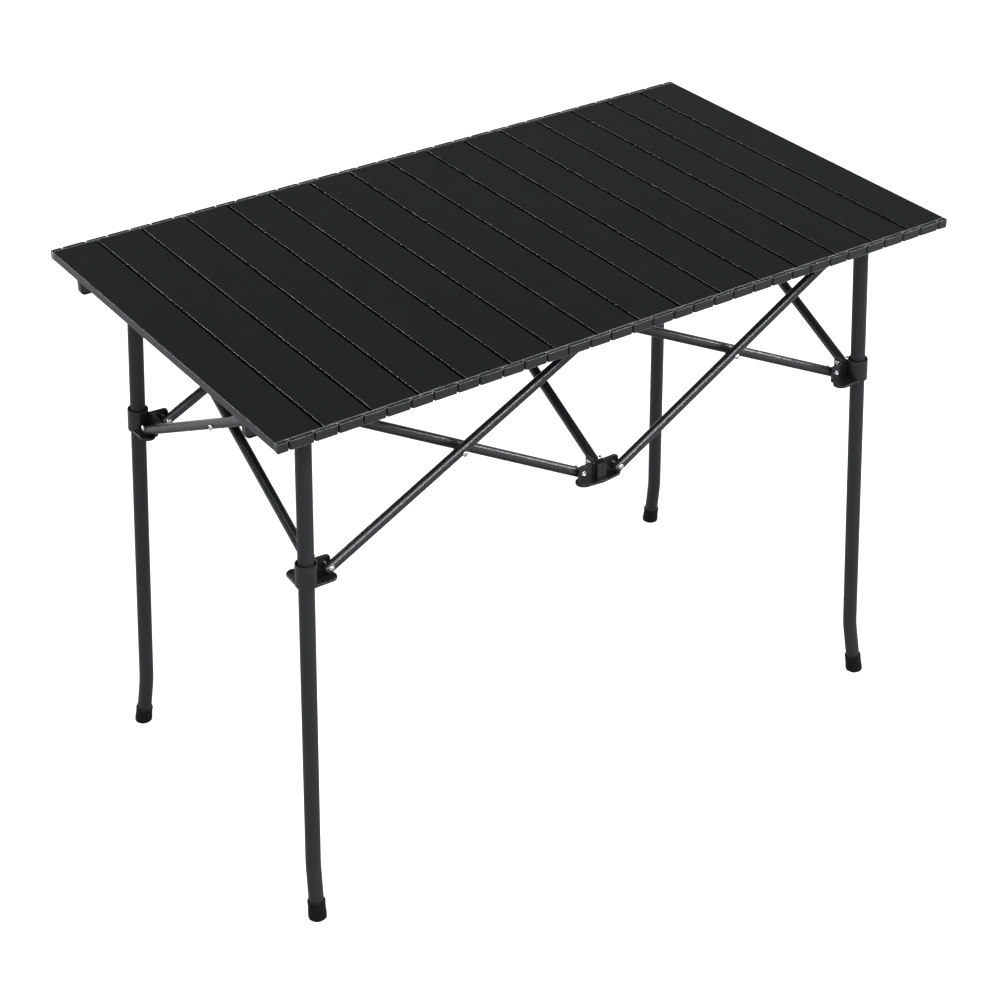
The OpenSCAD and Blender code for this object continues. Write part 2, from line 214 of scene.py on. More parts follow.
FLOOR_X = BEND.x + BEND.z * math.tan(LEAN_X)
FLOOR_Y = BEND.y + BEND.z * math.tan(LEAN_Y)
SIDE_LEAN = math.atan(math.tan(LEAN_X) * math.cos(LEAN_Y))
END_LEAN = math.atan(math.tan(LEAN_Y) * math.cos(LEAN_X))
LEG_COS = 1 / math.sqrt(1 + math.tan(LEAN_X) ** 2 + math.tan(LEAN_Y) ** 2)
SIDE_PLANE = shift(0, FLOOR_Y, 0) @ Matrix.Rotation(LEAN_Y, 4, "X")
END_PLANE = shift(FLOOR_X, 0, 0) @ Matrix.Rotation(-LEAN_X, 4, "Y")


def in_side(joint):
    """A pin as (distance along the top, distance up the side's plane)."""
    place = pin(joint)
    return Vector((place.x, place.z / math.cos(LEAN_Y)))


def in_end(joint):
    """A pin as (distance across the top, distance up the end's plane)."""
    place = pin(joint)
    return Vector((place.y, place.z / math.cos(LEAN_X)))


def in_middle(joint):
    """A pin of the braces across the middle as (distance across the top, height)."""
    place = pin(joint)
    return Vector((place.y, place.z))


SIDE_HEAD = in_side("frame_fold")
SIDE_SLIDER = in_side("slider_pin_front_left")
SIDE_CROSSING = in_side("crossing_front_left")
SIDE_UPPER = in_side("upper_hub_pin_front_left")
SIDE_LOWER = in_side("lower_hub_pin_front_left")
END_HEAD = in_end("left_head_pin_front")
END_SLIDER = in_end("left_slider_pin_front")
MIDDLE_UPPER = in_middle("middle_upper_pin_front")
MIDDLE_LOWER = in_middle("middle_lower_pin_front")


def crossing_of(lower):
    """The crossing pin of a pair across the table, which lies in the middle."""
    rest = math.sqrt(ARM * ARM - lower.x * lower.x)
    return Vector((0, lower.y + rest))


END_CROSSING = crossing_of(END_SLIDER)
MIDDLE_CROSSING = crossing_of(MIDDLE_LOWER)

SIDE_REACH = (FLOOR_X - SIDE_SLIDER.y * math.tan(SIDE_LEAN) - SIDE_SLIDER.x) * math.cos(SIDE_LEAN)
SLIDER_Z = (SIDE_SLIDER.y + SIDE_REACH * math.sin(SIDE_LEAN)) * math.cos(LEAN_Y)
HEAD_Z = SLIDER_Z + (SIDE_UPPER.y - SIDE_LOWER.y) * LEG_COS
END_REACH = (
    FLOOR_Y - SLIDER_Z / math.cos(LEAN_X) * math.tan(END_LEAN) - END_SLIDER.x
) / math.cos(END_LEAN)
HUB_REACH = SIDE_LOWER.x
HUB_REACH_Y = (FLOOR_Y - SIDE_LOWER.y * math.sin(LEAN_Y) - MIDDLE_LOWER.x) / math.cos(LEAN_Y)


def leg_in_side(z):
    """The frame at height z on the leg's centre line: Z along the leg, X in the side's plane."""
    up = z / math.cos(LEAN_Y)
    place = shift(FLOOR_X - up * math.tan(SIDE_LEAN), 0, up)
    return SIDE_PLANE @ place @ Matrix.Rotation(-SIDE_LEAN, 4, "Y")


def leg_in_end(z):
    """The same with Y in the end's plane."""
    up = z / math.cos(LEAN_X)
    place = shift(0, FLOOR_Y - up * math.tan(END_LEAN), up)
    return END_PLANE @ place @ Matrix.Rotation(END_LEAN, 4, "X")


# ---- mesh building ----

SHARP_ANGLE = 32


class Shape:
    """A mesh in the making, in millimetres."""

    def __init__(self):
        self.points = []
        self.faces = []

    def add(self, points, faces, place):
        start = len(self.points)
        self.points += [place @ Vector(point) for point in points]
        step = -1 if place.determinant() < 0 else 1
        self.faces += [[start + index for index in face[::step]] for face in faces]

    def limit(self, low=-math.inf, high=math.inf):
        """Flattens what lies below low or above high."""
        for point in self.points:
            point.z = min(max(point.z, low), high)

    def finish(self, name, body, slot, material, stands_for=None):
        """Makes the piece. It rides on a body, and stands_for is the CAD node that it replaces."""
        mesh = bpy.data.meshes.new(name)
        mesh.from_pydata([point * MM for point in self.points], [], self.faces)
        mesh.validate()
        mesh.shade_smooth()
        mesh.set_sharp_from_angle(angle=math.radians(SHARP_ANGLE))
        mesh.materials.append(material)
        piece = bpy.data.objects.new(name, mesh)
        bpy.context.scene.collection.objects.link(piece)
        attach(piece, body)
        normals = piece.modifiers.new("weighted_normals", "WEIGHTED_NORMAL")
        normals.keep_sharp = True
        if stands_for:
            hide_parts(stands_for)


def skin(rings):
    """Points and faces of a closed skin over rings that all have as many points."""
    count = len(rings[0])
    points = [point for ring in rings for point in ring]
    faces = []
    for k in range(len(rings) - 1):
        for i in range(count):
            here, after = k * count + i, k * count + (i + 1) % count
            faces.append([here, after, after + count, here + count])
    faces.append(list(range(count))[::-1])
    faces.append([(len(rings) - 1) * count + i for i in range(count)])
    return points, faces


def inset_outline(outline, inset):
    """The outline, which runs anticlockwise, moved inwards."""
    moved = []
    for i, here in enumerate(outline):
        before = (here - outline[i - 1]).normalized()
        after = (outline[(i + 1) % len(outline)] - here).normalized()
        first, second = Vector((-before.y, before.x)), Vector((-after.y, after.x))
        moved.append(here + (first + second) * (inset / (1 + first.dot(second))))
    return moved


def plate(shape, place, outline, levels):
    """A flat piece over an outline. Its levels are (inset, height), from the bottom up."""
    rings = []
    for inset, height in levels:
        rings.append([(point.x, point.y, height) for point in inset_outline(outline, inset)])
    shape.add(*skin(rings), place)


def rounded(low, high, radius):
    """The levels of a plate with rounded edges."""
    arc = [math.radians(90 * k / 3) for k in range(4)]
    bottom = [(radius * (1 - math.sin(a)), low + radius * (1 - math.cos(a))) for a in arc]
    top = [(radius * (1 - math.cos(a)), high - radius * (1 - math.sin(a))) for a in arc]
    return bottom + top


def arc_points(centre, radius, start, end, steps):
    x, y = centre
    angles = [math.radians(start + (end - start) * k / steps) for k in range(steps + 1)]
    return [Vector((x + radius * math.cos(a), y + radius * math.sin(a))) for a in angles]


def rounded_rectangle(x0, x1, y0, y1, radii, steps=4):
    """Anticlockwise from the lower left corner; radii has one number for each corner."""
    corners = [(x0, y0, 1, 1, 180), (x1, y0, -1, 1, 270), (x1, y1, -1, -1, 0), (x0, y1, 1, -1, 90)]
    points = []
    for (x, y, along, up, start), r in zip(corners, radii):
        if r == 0:
            points.append(Vector((x, y)))
        else:
            points += arc_points((x + along * r, y + up * r), r, start, start + 90, steps)
    return points


def block(shape, place, x0, x1, y0, y1, z0, z1, corner_r, edge_r=0.5):
    plate(shape, place, rounded_rectangle(x0, x1, y0, y1, [corner_r] * 4), rounded(z0, z1, edge_r))


def lathe(shape, place, profile, around):
    """Turns a profile of (radius, height) about Z. It runs from the bottom up, or round a ring."""
    ring = profile[0] == profile[-1]
    rows = profile[:-1] if ring else profile
    turns = [2 * math.pi * k / around for k in range(around)]
    points, starts, faces = [], [], []
    for r, z in rows:
        starts.append(len(points))
        points += [(0, 0, z)] if r == 0 else [(r * math.cos(a), r * math.sin(a), z) for a in turns]
    for low in range(len(rows) if ring else len(rows) - 1):
        high = (low + 1) % len(rows)
        for i in range(around):
            j = (i + 1) % around
            a, b = starts[low], starts[high]
            if rows[low][0] == 0:
                faces.append([a, b + j, b + i])
            elif rows[high][0] == 0:
                faces.append([a + i, a + j, b])
            else:
                faces.append([a + i, a + j, b + j, b + i])
    shape.add(points, faces, place)


def sweep(shape, places, radius, around):
    """A round bar through the frames, which have Z along it."""
    turns = [2 * math.pi * k / around for k in range(around)]
    circle = [Vector((radius * math.cos(a), radius * math.sin(a), 0)) for a in turns]
    shape.add(*skin([[place @ point for point in circle] for place in places]), Matrix())


# ---- materials ----

CLOUDS_PER_M = 16
SMUDGES_PER_M = 70
NOISE_ROUGHNESS = 0.55
PATCH_LOW = 0.4
# the weakest share of the edge colour, rubbed paint and painted highlight in one, along an edge
WEAR_AND_HIGHLIGHT_LOW = 0.6
EDGE_FROM = 0.98  # cosines of the turn at which the edge colour, rubbed paint and painted highlight in one, begins and is full
EDGE_TO = 0.80
# painted shade in the seams between the slats: its colour, its shine and where it reaches
SEAM_SHADE_BLACK = (0.0004, 0.0004, 0.0005)
SEAM_SHADE_SPECULAR = 0.02
SEAM_END = 0.9
SEAM_TOP = 0.5
SEAM_FADES = (0.1, 0.7, 0.15)


def add_node(tree, kind, **settings):
    node = tree.nodes.new(kind)
    for name, value in settings.items():
        setattr(node, name, value)
    return node


def noise(tree, vector, scale, detail):
    node = add_node(tree, "ShaderNodeTexNoise")
    node.inputs["Scale"].default_value = scale
    node.inputs["Detail"].default_value = detail
    node.inputs["Roughness"].default_value = NOISE_ROUGHNESS
    tree.links.new(vector, node.inputs["Vector"])
    return node.outputs["Fac"]


def mapped(tree, value, low, high, to_low, to_high):
    node = add_node(tree, "ShaderNodeMapRange", clamp=True)
    limits = {"From Min": low, "From Max": high, "To Min": to_low, "To Max": to_high}
    for name, number in limits.items():
        node.inputs[name].default_value = number
    tree.links.new(value, node.inputs["Value"])
    return node.outputs["Result"]


def times(tree, first, second):
    node = add_node(tree, "ShaderNodeMath", operation="MULTIPLY")
    tree.links.new(first, node.inputs[0])
    tree.links.new(second, node.inputs[1])
    return node.outputs[0]


def mixed(tree, factor, first, second):
    """A colour between two; each is a colour or another node's output."""
    node = add_node(tree, "ShaderNodeMix", data_type="RGBA")
    tree.links.new(factor, node.inputs["Factor"])
    for name, colour in (("A", first), ("B", second)):
        socket = next(s for s in node.inputs if s.name == name and s.type == "RGBA")
        if isinstance(colour, tuple):
            socket.default_value = (*colour, 1)
        else:
            tree.links.new(colour, socket)
    return next(s for s in node.outputs if s.type == "RGBA")


def edge_mask(tree, radius):
    """High where the surface turns sharply within the radius, in metres."""
    soft = add_node(tree, "ShaderNodeBevel", samples=4)
    soft.inputs["Radius"].default_value = radius
    true = add_node(tree, "ShaderNodeNewGeometry")
    dot = add_node(tree, "ShaderNodeVectorMath", operation="DOT_PRODUCT")
    tree.links.new(soft.outputs["Normal"], dot.inputs[0])
    tree.links.new(true.outputs["Normal"], dot.inputs[1])
    return mapped(tree, dot.outputs["Value"], EDGE_FROM, EDGE_TO, 0, 1)


def seam_shade_mask(tree, place):
    """Where shade is painted: high in the seams between the slats, below their top edges."""
    axes = add_node(tree, "ShaderNodeSeparateXYZ")
    tree.links.new(place, axes.inputs["Vector"])
    side = add_node(tree, "ShaderNodeMath", operation="ABSOLUTE")
    tree.links.new(axes.outputs["X"], side.inputs[0])
    end, foot, top = TOP_L / 2 - SEAM_END, SLAT_Z + SLAT_LOWER_R, HEIGHT - SEAM_TOP
    end_fade, foot_fade, top_fade = SEAM_FADES
    inner = mapped(tree, side.outputs[0], end * MM, (end + end_fade) * MM, 1, 0)
    above = mapped(tree, axes.outputs["Z"], foot * MM, (foot + foot_fade) * MM, 0, 1)
    below = mapped(tree, axes.outputs["Z"], top * MM, (top + top_fade) * MM, 1, 0)
    return times(tree, inner, times(tree, above, below))


def surface(name, colour, light, rough, grain, depth, wear_and_highlight_colour, wear_and_highlight_strength, edge=0.9, metallic=0.0,
            specular=0.5, stretch=(1, 1, 1), painted_seam_shade=False):
    """A finish. colour and light are its darkest and lightest paint, and rough its lowest and
    highest roughness. grain is the size of its texture, stretch its scale along each axis and depth
    how deep it is. worn is the colour of its edges, rubbed paint and painted highlight in one, wear
    how strong that is and edge how wide.
    Lengths are in millimetres. painted_seam_shade paints shade into the seams between the slats:
    black, with almost no shine."""
    material = bpy.data.materials.new(name)
    material.use_nodes = True
    tree = material.node_tree
    shader = tree.nodes["Principled BSDF"]
    shader.inputs["Metallic"].default_value = metallic
    shader.inputs["Specular IOR Level"].default_value = specular
    place = add_node(tree, "ShaderNodeTexCoord").outputs["Object"]
    mapping = add_node(tree, "ShaderNodeMapping")
    mapping.inputs["Scale"].default_value = stretch
    tree.links.new(place, mapping.inputs["Vector"])

    fine = noise(tree, mapping.outputs["Vector"], 1 / (grain * MM), detail=4)
    cloud = noise(tree, place, CLOUDS_PER_M, detail=5)
    smudge = noise(tree, place, SMUDGES_PER_M, detail=3)
    bump = add_node(tree, "ShaderNodeBump")
    bump.inputs["Strength"].default_value = 1
    bump.inputs["Distance"].default_value = depth * MM
    tree.links.new(fine, bump.inputs["Height"])
    tree.links.new(bump.outputs["Normal"], shader.inputs["Normal"])

    cloudy, smudged = (mapped(tree, field, 0.3, 0.7, PATCH_LOW, 1) for field in (cloud, smudge))
    patches = times(tree, cloudy, smudged)
    roughness = mapped(tree, patches, PATCH_LOW * PATCH_LOW, 1, rough[0], rough[1])
    paint = mixed(tree, mapped(tree, fine, 0.35, 0.7, 0, 1), colour, light)
    # edges take the edge colour, unevenly: rubbed paint, and on the slats and caps mostly a painted
    # highlight
    uneven = mapped(tree, smudge, 0.35, 0.65, WEAR_AND_HIGHLIGHT_LOW * wear_and_highlight_strength, wear_and_highlight_strength)
    wear_and_highlight = times(tree, edge_mask(tree, edge * MM), uneven)
    paint = mixed(tree, wear_and_highlight, paint, wear_and_highlight_colour)
    # painted shade: the seams between the slats are painted black and lose their shine
    if painted_seam_shade:
        seam_shade = seam_shade_mask(tree, place)
        paint = mixed(tree, seam_shade, paint, SEAM_SHADE_BLACK)
        shine = mapped(tree, seam_shade, 0, 1, specular, SEAM_SHADE_SPECULAR)
        tree.links.new(shine, shader.inputs["Specular IOR Level"])
    tree.links.new(roughness, shader.inputs["Roughness"])
    tree.links.new(paint, shader.inputs["Base Color"])
    return material


# the slats' light edge colour is a painted highlight along their edges, and their seams get painted
# black shade
SLAT = surface(
    "black_anodised_aluminium", colour=(0.0050, 0.0053, 0.0060), light=(0.0074, 0.0077, 0.0084),
    rough=(0.27, 0.34), grain=0.5, depth=0.003, specular=0.42, stretch=(1, 0.04, 1),
    wear_and_highlight_colour=(0.50, 0.52, 0.56), wear_and_highlight_strength=0.95, edge=0.35, painted_seam_shade=True)
# the caps' light edge colour is a painted highlight along their edges
CAP = surface(
    "grey_black_nylon", colour=(0.0065, 0.0068, 0.0074), light=(0.0100, 0.0103, 0.0109),
    rough=(0.28, 0.38), grain=0.45, depth=0.012, specular=0.45, wear_and_highlight_colour=(0.74, 0.76, 0.80),
    wear_and_highlight_strength=0.95, edge=0.6)
LEG_PAINT = surface(
    "satin_black_powder_coat", colour=(0.009, 0.0093, 0.0096), light=(0.014, 0.0143, 0.0148),
    rough=(0.38, 0.48), grain=0.6, depth=0.010, specular=0.25, wear_and_highlight_colour=(0.06, 0.06, 0.062), wear_and_highlight_strength=0.4)
BRACE_PAINT = surface(
    "textured_black_powder_coat", colour=(0.004, 0.0042, 0.0045), light=(0.014, 0.0143, 0.015),
    rough=(0.14, 0.26), grain=1.4, depth=0.34, specular=0.60, wear_and_highlight_colour=(0.08, 0.08, 0.08), wear_and_highlight_strength=0.4)
BRACKET = surface(
    "moulded_black_nylon", colour=(0.006, 0.006, 0.0064), light=(0.009, 0.009, 0.0094),
    rough=(0.20, 0.34), grain=0.5, depth=0.010, specular=0.40, wear_and_highlight_colour=(0.05, 0.05, 0.052), wear_and_highlight_strength=0.5)
LATCH = surface(
    "black_latch_nylon", colour=(0.008, 0.008, 0.0084), light=(0.013, 0.013, 0.0134),
    rough=(0.30, 0.42), grain=0.5, depth=0.014, wear_and_highlight_colour=(0.06, 0.06, 0.062), wear_and_highlight_strength=0.5)
RUBBER = surface(
    "black_rubber", colour=(0.002, 0.002, 0.002), light=(0.0045, 0.0045, 0.0045),
    rough=(0.50, 0.66), grain=0.5, depth=0.03, specular=0.1, wear_and_highlight_colour=(0.035, 0.034, 0.033), wear_and_highlight_strength=0.8)
STEEL = surface(
    "zinc_plated_steel", colour=(0.60, 0.61, 0.62), light=(0.78, 0.79, 0.80),
    rough=(0.18, 0.36), grain=0.4, depth=0.01, metallic=1.0, wear_and_highlight_colour=(0.9, 0.9, 0.9), wear_and_highlight_strength=0.4)

# ---- frame parts ----


def leg_bend():
    """The frame of the leg's bend: its lower stretch runs down in the XZ plane, towards +X."""
    down = FOOT - BEND
    across = down @ Vector((math.cos(SIDE_LEAN), -math.sin(SIDE_LEAN) * math.sin(LEAN_Y),
                            math.sin(SIDE_LEAN) * math.cos(LEAN_Y)))
    out = down @ Vector((0, math.cos(LEAN_Y), math.sin(LEAN_Y)))
    angle = math.asin(math.hypot(across, out) / down.length)
    bend = leg_in_side(BEND.z) @ Matrix.Rotation(math.atan2(out, across), 4, "Z")
    return bend, angle, down.length


def at_foot():
    """The frame on the floor with Z up the bent stretch."""
    bend, angle, length = leg_bend()
    return bend @ Matrix.Rotation(-angle, 4, "Y") @ shift(0, 0, -length)


def leg_path():
    """Frames from the foot up to the top of the leg, with Z along it."""
    bend, angle, length = leg_bend()
    tangent = BEND_R * math.tan(angle / 2)
    places = [at_foot() @ shift(0, 0, z) for z in (FOOT_FLOOR, FOOT_H + 1, length - tangent - 1)]
    for k in range(BEND_STEPS, -1, -1):
        a = angle * k / BEND_STEPS
        spot = shift(BEND_R * (1 - math.cos(a)), 0, tangent - BEND_R * math.sin(a))
        places.append(bend @ spot @ Matrix.Rotation(-a, 4, "Y"))
    top = (SLAT_Z - LEG_END_GAP - BEND.z) / LEG_COS
    return places + [bend @ shift(0, 0, up) for up in (tangent + 1, top / 3, 2 * top / 3, top)]


def ear(shape, place, reach, root):
    """An upright plate that carries a brace's pin, out along X from root to past reach."""
    outline = rounded_rectangle(root, reach + EAR_END, -EAR_DOWN - 1, EAR_UP, EAR_CORNERS)
    plate(shape, place @ turn("X", 90), outline, rounded(-EAR_T / 2, EAR_T / 2, MOULDED_R))


def wing_outline(arms, root):
    """The outline of a plate with arms, each a (direction, reach), given anticlockwise."""
    points = []
    for k, (direction, reach) in enumerate(arms):
        taper = math.degrees(math.asin((root - WING_R) / reach))
        tip = Matrix.Rotation(math.radians(direction), 2) @ Vector((reach, 0))
        start, end = direction - 90 + taper, direction + 90 - taper
        points += arc_points(tip, WING_R, start, end, WING_STEPS)
        gap = (arms[(k + 1) % len(arms)][0] - direction) % 360
        if gap < 180:
            near = (root + WING_R) / 2 + WING_FILLET_OUT + WING_FILLET
            bow = arc_points((near, near), WING_FILLET, 270, 180, 5)
            points += [Matrix.Rotation(math.radians(direction), 2) @ p for p in bow]
        else:
            start, end = end, direction + gap - 90 + taper
            points += arc_points((0, 0), root, start, end, WING_STEPS)[1:-1]
    return points


def wing(shape, place, arms, root):
    """The plate under a bracket, with a raised rim."""
    low, high = -EAR_DOWN - WING_T, -EAR_DOWN
    rim = [(inset, high + z) for inset, z in WING_RIM]
    plate(shape, place, wing_outline(arms, root), rounded(low, high, MOULDED_R) + rim)


def bracket_ears(shape, z):
    ear(shape, leg_in_side(z) @ shift(0, -EAR_INSET, 0) @ flip(x=-1), SIDE_REACH, EAR_ROOT)
    ear(shape, leg_in_end(z) @ shift(-EAR_INSET, 0, 0) @ turn("Z", -90), END_REACH, EAR_ROOT)


def leg_head():
    shape = Shape()
    top, low, r = (SLAT_Z - TOP_GAP - HEAD_Z) / LEG_COS - 0.3, -HEAD_DOWN, COLLAR_R
    profile = [(0, top - HEAD_ROOF), (LEG_R + 0.05, top - HEAD_ROOF)]
    profile += [(LEG_R + 0.05, low + 0.5), (LEG_R + 0.5, low)]
    profile += [(r - 0.7, low), (r - 0.2, low + 0.2), (r, low + 0.7)]
    profile += [(r, -9), (r - 0.4, -8.6), (r - 0.4, -8), (r, -7.6)]
    profile += [(r, top - 1), (r - 0.3, top - 0.3), (r - 1, top), (0, top)]
    lathe(shape, leg_in_side(HEAD_Z), profile, COLLAR_SIDES)
    bracket_ears(shape, HEAD_Z)
    shape.limit(high=SLAT_Z - TOP_GAP)
    return shape


def slider():
    shape = Shape()
    low, top, r, bore = -EAR_DOWN - WING_T, COLLAR_TOP, COLLAR_R, COLLAR_BORE
    profile = [(bore, low + 0.4), (bore + 0.4, low), (r - 0.7, low), (r - 0.2, low + 0.2)]
    profile += [(r, low + 0.7)]
    for groove in COLLAR_GROOVES:
        profile += [(r, groove), (r - 0.45, groove + 0.3), (r - 0.45, groove + 0.9)]
        profile += [(r, groove + 1.2)]
    profile += [(r, top - 0.9), (r - 0.3, top - 0.2), (r - 0.9, top), (r - 1.3, top - 0.3)]
    profile += [(bore + 1.2, top - 4), (bore, top - 5.5), (bore, low + 0.4)]
    place = leg_in_side(SLIDER_Z)
    lathe(shape, place, profile, COLLAR_SIDES)
    wing(shape, place, [(180, SIDE_REACH - WING_SHORT), (270, END_REACH - WING_SHORT)], WING_ROOT)
    bracket_ears(shape, SLIDER_Z)
    return shape


def hub_post_outline():
    """The post seen from above, with the slot in its front."""
    half, front, back = HUB_W / 2, -EAR_INSET + HUB_FRONT, -EAR_INSET - HUB_BACK
    floor_y = front - HUB_SLOT_DEPTH
    corners = [(-half, back), (half, back), (half, front), (HUB_SLOT, front), (HUB_SLOT, floor_y)]
    corners += [(-HUB_SLOT, floor_y), (-HUB_SLOT, front), (-half, front)]
    return [Vector(corner) for corner in corners]


def hub(up, winged):
    """A hub of the right half, at a height up the side's plane."""
    shape = Shape()
    place = SIDE_PLANE @ shift(0, 0, up)
    plate(shape, place, hub_post_outline(), rounded(-EAR_DOWN - 0.9, HUB_UP, MOULDED_R))
    front, half = -EAR_INSET + HUB_FRONT, HUB_BRIDGE
    near, far = front - HUB_BRIDGE_IN, front - HUB_BRIDGE_OUT
    for low, high in HUB_BRIDGES:
        block(shape, place, -half, half, near, far, low, high, corner_r=0.2, edge_r=0.2)
    for side in (1, -1):
        ear(shape, place @ shift(0, -EAR_INSET, 0) @ flip(x=side), HUB_REACH, HUB_W / 2 - 1)
    ear(shape, place @ turn("Z", -90), HUB_REACH_Y, EAR_INSET + 2)
    if winged:
        along, inward = HUB_REACH - WING_SHORT, HUB_REACH_Y - EAR_INSET - WING_SHORT
        arms = [(0, along), (180, along), (270, inward)]
        wing(shape, place @ shift(0, -EAR_INSET, 0), arms, COLLAR_R)
    return shape


def dome(shape, place):
    """A rivet's round head, on the plane z = 0."""
    r, brim = RIVET_HEAD_R, 0.25
    profile = [(0, 0), (r - 0.2, 0), (r, brim)]
    for a in (0.35, 0.7, 1.05, 1.35):
        profile.append((r * math.cos(a), brim + (DOME_H - brim) * math.sin(a)))
    lathe(shape, place, profile + [(0, DOME_H)], HEAD_SIDES)


def rolled_rim(shape, place):
    """A rivet's rolled end round the hollow of its shank, on the plane z = 0."""
    r, high = RIVET_HEAD_R, ROLL_H
    profile = [(0, 0), (r - 0.3, 0), (r, 0.3), (r - 0.15, high * 0.6), (r - 0.9, high)]
    profile += [(r - 1.5, high), (r - 2.0, high * 0.7), (r - 2.15, high * 0.25), (0, high * 0.15)]
    lathe(shape, place, profile, HEAD_SIDES)


def shank(shape, place, low, high):
    """A rivet's shank, which reaches a little way into both of its ends."""
    low, high = low - RIVET_BITE, high + RIVET_BITE
    profile = [(0, low), (RIVET_R, low), (RIVET_R, high), (0, high)]
    lathe(shape, place, profile, SHANK_SIDES)


def ear_rivet(shape, place):
    """The rivet that holds a brace on an ear; the ear's middle is the plane z = 0."""
    top = BRACE_OUT + BRACE_R + RIVET_PLAY
    bottom = EAR_T / 2 + RIM_PLAY
    shank(shape, place, -bottom, top)
    dome(shape, place @ shift(0, 0, top))
    rolled_rim(shape, place @ shift(0, 0, -bottom) @ turn("X", 180))


def bracket_rivets(z, side_outer, end_outer):
    """The two rivets of a leg's head or slider; outer means that the brace is outside its ear."""
    shape = Shape()
    on_side = leg_in_side(z) @ shift(-SIDE_REACH, -EAR_INSET, 0)
    on_end = leg_in_end(z) @ shift(-EAR_INSET, -END_REACH, 0)
    ear_rivet(shape, on_side @ turn("X", -90 if side_outer else 90))
    ear_rivet(shape, on_end @ turn("Y", 90 if end_outer else -90))
    return shape


def hub_rivets(up, outer_right):
    shape = Shape()
    place = SIDE_PLANE @ shift(0, 0, up)
    for side in (-1, 1):
        outer = (side > 0) == outer_right
        at = place @ shift(side * HUB_REACH, -EAR_INSET, 0)
        ear_rivet(shape, at @ turn("X", -90 if outer else 90))
    ear_rivet(shape, place @ shift(0, -HUB_REACH_Y, 0) @ turn("Y", 90 if outer_right else -90))
    return shape


def brace_place(a, b):
    """The frame in the middle of a brace between two end pins, X along it, and its half length."""
    span = (b - a).length
    drop = math.sqrt(ARM * ARM - span * span / 4) / 2
    middle, angle = (a + b) / 2, math.atan2(b.y - a.y, b.x - a.x)
    place = shift(middle.x, 0, middle.y) @ Matrix.Rotation(-angle, 4, "Y") @ shift(0, 0, -drop)
    return place, span / 2 + BRACE_END


def brace_tube(a, b):
    shape = Shape()
    place, half = brace_place(a, b)
    r, bore = BRACE_R, BRACE_R - BRACE_WALL
    edge, count = BRACE_EDGE, BRACE_STRETCHES
    profile = [(bore, -half), (r - edge, -half), (r, -half + edge)]
    profile += [(r, -half + 2 * half * k / count) for k in range(1, count)]
    profile += [(r, half - edge), (r - edge, half), (bore, half), (bore, -half)]
    lathe(shape, place @ turn("Y", 90), profile, BRACE_SIDES)
    return shape


def brace_plugs(a, b):
    shape = Shape()
    place, half = brace_place(a, b)
    r = BRACE_R
    profile = [(0, -0.9), (r - 1.25, -0.9), (r - 1.25, 0.05), (r - 0.25, 0.05), (r - 0.05, 0.35)]
    profile += [(r - 0.1, 0.8)]
    crown = [(1 - math.cos(a), math.sin(a)) for a in (0.3, 0.6, 0.95, 1.3)]
    profile += [(r - 0.1 - 2.2 * inward, 0.8 + (PLUG_T - 0.8) * up) for inward, up in crown]
    profile += [(r - 2.4, PLUG_T), (1.6, PLUG_T), (1.3, PLUG_T - 0.5), (0, PLUG_T - 0.5)]
    for side in (1, -1):
        at = place @ flip(x=side) @ shift(half, 0, 0) @ turn("Y", 90)
        lathe(shape, at, profile, PLUG_SIDES)
    return shape


def crossing_rivet(place):
    shape = Shape()
    half = BRACE_OUT + BRACE_R + RIVET_PLAY
    shank(shape, place, -half, half)
    dome(shape, place @ shift(0, 0, half))
    dome(shape, place @ shift(0, 0, -half) @ turn("X", 180))
    return shape


def crossing_spacer(place):
    shape = Shape()
    half, r = BRACE_OUT - BRACE_R - SPACER_PLAY, SPACER_R
    profile = [(RIVET_R, -half), (r - 0.4, -half), (r, -half + 0.4), (r, -0.4), (r - 0.3, 0)]
    profile += [(r, 0.4), (r, half - 0.4), (r - 0.4, half), (RIVET_R, half), (RIVET_R, -half)]
    lathe(shape, place, profile, SPACER_SIDES)
    return shape


# ---- top parts ----


def slat_profile(lipped):
    """The section of a slat: a lip along its right edge and two grooves in its underside."""
    left, right = SLAT_GAP / 2, PITCH - SLAT_GAP / 2
    radii = [SLAT_LOWER_R, SLAT_LOWER_R, EDGE_R, EDGE_R]
    outline = rounded_rectangle(left, right, SLAT_Z, HEIGHT, radii)
    grooves = []
    for middle in (left + (right - left) / 3, left + 2 * (right - left) / 3):
        grooves += [Vector((middle + x, SLAT_Z + z)) for x, z in GROOVE]
    # each corner of the outline has five points
    lower_left, lower_right, upper_right, upper_left = (outline[i:i + 5] for i in (0, 5, 10, 15))
    if lipped:
        ledge, shoulder = HEIGHT - LIP_DEPTH, right - LIP_W
        upper_right = [Vector((right, ledge)), Vector((shoulder, ledge))]
        upper_right += arc_points((shoulder - EDGE_R, HEIGHT - EDGE_R), EDGE_R, 0, 90, 4)
    return lower_left + grooves + lower_right + upper_right + upper_left


def end_bar(shape, place, x0, x1, y0, y1, left_r=BLOCK_R, right_r=BLOCK_R):
    """A block at a slat's rear end, its outer corners rounded as seen from above."""
    outline = rounded_rectangle(x0, x1, y0, y1, [0, 0, right_r, left_r], 5)
    plate(shape, place, outline, rounded(SLAT_Z, HEIGHT, BLOCK_EDGE_R))


def slat_extrusion(place, lipped):
    shape = Shape()
    half = TOP_W / 2 - END_DEPTH - CAP_T - CAP_PLAY
    plate(shape, place @ turn("X", 90), slat_profile(lipped), [(0, -half), (0, half)])
    return shape


